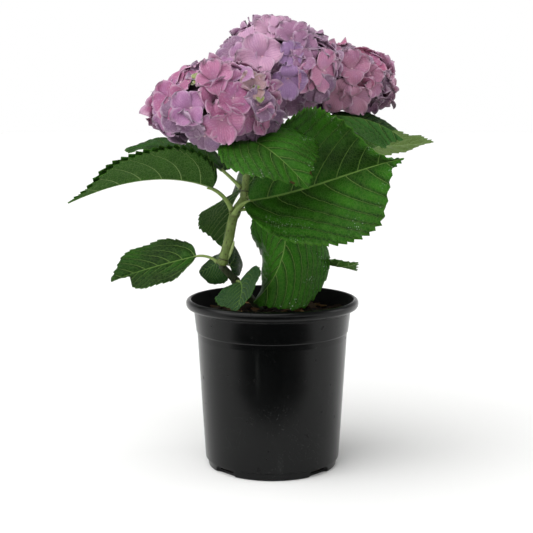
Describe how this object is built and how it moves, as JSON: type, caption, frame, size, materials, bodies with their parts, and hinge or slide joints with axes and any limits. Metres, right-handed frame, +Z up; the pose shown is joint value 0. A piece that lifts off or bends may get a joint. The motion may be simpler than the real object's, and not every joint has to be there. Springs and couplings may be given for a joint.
{
  "type": "potted mophead hydrangea shrub",
  "caption": "Young mophead hydrangea in a round black nursery pot, with one leaning stem, broad toothed leaves and domed pink to violet flower heads on forked boughs.",
  "frame": {"origin": "centre of the flat underside of the pot, at the height where it stands", "axes": "+Z up, +X to the right and +Y away from the viewer of the plant's front; the flower heads lean to the front left and back right"},
  "size_m": [0.3367, 0.2713, 0.4248],
  "materials": {
    "pot": "satin black moulded plastic with faint dust",
    "bark_compost": "coarse dark bark compost",
    "old_wood": "brown-green ribbed bark",
    "green_stem": "pale green with brown flecks",
    "leaf": "mid green, satin, with paler raised veins",
    "bloom_pink": "soft matt mauve pink sepals",
    "bloom_violet": "soft matt pale violet sepals",
    "bloom_rose": "soft matt dusty rose sepals"
  },
  "bodies": {
    "root": {"pot": "pot", "soil": "bark_compost", "trunk": "old_wood", "stem": "green_stem", "leaf_upper_left": "leaf", "leaf_large_right": "leaf", "leaf_back_left": "leaf", "leaf_hanging": "leaf", "leaf_behind_stem": "leaf", "leaf_low_right": "leaf", "leaf_front": "leaf", "leaf_upper_right": "leaf", "leaf_back": "leaf", "leaf_back_right": "leaf", "leaf_pale_tip": "leaf", "leaf_far_right": "leaf", "leaf_lower_left": "leaf", "leaf_node_left": "leaf", "leaf_node_back": "leaf", "leaf_over_rim": "leaf", "bloom_left": "bloom_pink", "bloom_middle": "bloom_violet", "bloom_right": "bloom_rose"}
  },
  "joints": []
}
